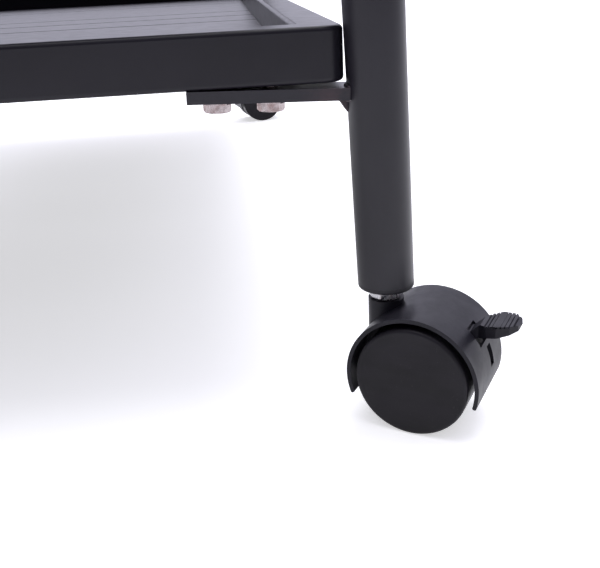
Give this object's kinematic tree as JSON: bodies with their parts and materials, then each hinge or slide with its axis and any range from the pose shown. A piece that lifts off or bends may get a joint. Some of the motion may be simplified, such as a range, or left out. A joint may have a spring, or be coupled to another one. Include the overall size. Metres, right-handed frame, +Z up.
{
  "type": "shelf cart",
  "caption": "Two-tier serving cart with tube end frames, rimmed plank trays on bolted brackets and braked twin-wheel swivel casters.",
  "frame": {"origin": "on the floor, under the middle of the cart", "axes": "+Z up, +Y along the cart, +X across it, parallel to the handles"},
  "size_m": [0.5384, 0.8664, 0.86],
  "materials": {
    "frame": "satin powder coat",
    "tray_rim": "satin powder coat",
    "deck": "satin powder coat",
    "bracket": "satin powder coat",
    "zinc": "bright zinc plate",
    "stem": "bright zinc plate",
    "hood": "satin moulded nylon",
    "wheel": "satin moulded nylon",
    "lever": "satin moulded nylon",
    "insert": "matt moulded nylon"
  },
  "bodies": {
    "cart": {"bracket_bolts": "zinc", "bracket_washers": "zinc", "front_end_tube": "frame", "front_left_caster_stem": "stem", "front_left_leg_insert": "insert", "front_right_caster_stem": "stem", "front_right_leg_insert": "insert", "lower_board_centre": "deck", "lower_board_front_inner": "deck", "lower_board_front_outer": "deck", "lower_board_rear_inner": "deck", "lower_board_rear_outer": "deck", "lower_front_left_bracket": "bracket", "lower_front_rail": "tray_rim", "lower_front_right_bracket": "bracket", "lower_left_rail": "tray_rim", "lower_rear_left_bracket": "bracket", "lower_rear_rail": "tray_rim", "lower_rear_right_bracket": "bracket", "lower_right_rail": "tray_rim", "rear_end_tube": "frame", "rear_left_caster_stem": "stem", "rear_left_leg_insert": "insert", "rear_right_caster_stem": "stem", "rear_right_leg_insert": "insert", "upper_board_centre": "deck", "upper_board_front_inner": "deck", "upper_board_front_outer": "deck", "upper_board_rear_inner": "deck", "upper_board_rear_outer": "deck", "upper_front_left_bracket": "bracket", "upper_front_rail": "tray_rim", "upper_front_right_bracket": "bracket", "upper_left_rail": "tray_rim", "upper_rear_left_bracket": "bracket", "upper_rear_rail": "tray_rim", "upper_rear_right_bracket": "bracket", "upper_right_rail": "tray_rim"},
    "front_right_caster": {"front_right_hood": "hood", "front_right_axle": "stem"},
    "front_right_wheel_near": {"front_right_wheel_near": "wheel"},
    "front_right_wheel_far": {"front_right_wheel_far": "wheel"},
    "front_right_lever": {"front_right_brake_lever": "lever"},
    "rear_right_caster": {"rear_right_hood": "hood", "rear_right_axle": "stem"},
    "rear_right_wheel_near": {"rear_right_wheel_near": "wheel"},
    "rear_right_wheel_far": {"rear_right_wheel_far": "wheel"},
    "rear_right_lever": {"rear_right_brake_lever": "lever"},
    "front_left_caster": {"front_left_hood": "hood", "front_left_axle": "stem"},
    "front_left_wheel_near": {"front_left_wheel_near": "wheel"},
    "front_left_wheel_far": {"front_left_wheel_far": "wheel"},
    "front_left_lever": {"front_left_brake_lever": "lever"},
    "rear_left_caster": {"rear_left_hood": "hood", "rear_left_axle": "stem"},
    "rear_left_wheel_near": {"rear_left_wheel_near": "wheel"},
    "rear_left_wheel_far": {"rear_left_wheel_far": "wheel"},
    "rear_left_lever": {"rear_left_brake_lever": "lever"}
  },
  "joints": [
    {"name": "front_right_swivel", "type": "hinge", "parent": "cart", "child": "front_right_caster", "pos_m": [0.21609, -0.39, 0.0557], "axis": [0, 0, 1], "continuous": true},
    {"name": "front_right_wheel_near_spin", "type": "hinge", "parent": "front_right_caster", "child": "front_right_wheel_near", "pos_m": [0.23187, -0.39986, 0.0254], "axis": [0.5299, 0.848, 0], "continuous": true},
    {"name": "front_right_wheel_far_spin", "type": "hinge", "parent": "front_right_caster", "child": "front_right_wheel_far", "pos_m": [0.23187, -0.39986, 0.0254], "axis": [0.5299, 0.848, 0], "continuous": true},
    {"name": "front_right_brake", "type": "hinge", "parent": "front_right_caster", "child": "front_right_lever", "pos_m": [0.24256, -0.40654, 0.03525], "axis": [0.5299, 0.848, 0], "range_deg": [0, 15]},
    {"name": "rear_right_swivel", "type": "hinge", "parent": "cart", "child": "rear_right_caster", "pos_m": [0.21609, 0.39, 0.0557], "axis": [0, 0, 1], "continuous": true},
    {"name": "rear_right_wheel_near_spin", "type": "hinge", "parent": "rear_right_caster", "child": "rear_right_wheel_near", "pos_m": [0.1979, 0.38613, 0.0254], "axis": [0.2079, -0.9781, 0], "continuous": true},
    {"name": "rear_right_wheel_far_spin", "type": "hinge", "parent": "rear_right_caster", "child": "rear_right_wheel_far", "pos_m": [0.1979, 0.38613, 0.0254], "axis": [0.2079, -0.9781, 0], "continuous": true},
    {"name": "rear_right_brake", "type": "hinge", "parent": "rear_right_caster", "child": "rear_right_lever", "pos_m": [0.18557, 0.38351, 0.03525], "axis": [0.2079, -0.9781, 0], "range_deg": [0, 15]},
    {"name": "front_left_swivel", "type": "hinge", "parent": "cart", "child": "front_left_caster", "pos_m": [-0.21609, -0.39, 0.0557], "axis": [0, 0, 1], "continuous": true},
    {"name": "front_left_wheel_near_spin", "type": "hinge", "parent": "front_left_caster", "child": "front_left_wheel_near", "pos_m": [-0.1979, -0.38613, 0.0254], "axis": [-0.2079, 0.9781, 0], "continuous": true},
    {"name": "front_left_wheel_far_spin", "type": "hinge", "parent": "front_left_caster", "child": "front_left_wheel_far", "pos_m": [-0.1979, -0.38613, 0.0254], "axis": [-0.2079, 0.9781, 0], "continuous": true},
    {"name": "front_left_brake", "type": "hinge", "parent": "front_left_caster", "child": "front_left_lever", "pos_m": [-0.18557, -0.38351, 0.03525], "axis": [-0.2079, 0.9781, 0], "range_deg": [0, 15]},
    {"name": "rear_left_swivel", "type": "hinge", "parent": "cart", "child": "rear_left_caster", "pos_m": [-0.21609, 0.39, 0.0557], "axis": [0, 0, 1], "continuous": true},
    {"name": "rear_left_wheel_near_spin", "type": "hinge", "parent": "rear_left_caster", "child": "rear_left_wheel_near", "pos_m": [-0.23187, 0.39986, 0.0254], "axis": [-0.5299, -0.848, 0], "continuous": true},
    {"name": "rear_left_wheel_far_spin", "type": "hinge", "parent": "rear_left_caster", "child": "rear_left_wheel_far", "pos_m": [-0.23187, 0.39986, 0.0254], "axis": [-0.5299, -0.848, 0], "continuous": true},
    {"name": "rear_left_brake", "type": "hinge", "parent": "rear_left_caster", "child": "rear_left_lever", "pos_m": [-0.24256, 0.40654, 0.03525], "axis": [-0.5299, -0.848, 0], "range_deg": [0, 15]}
  ]
}
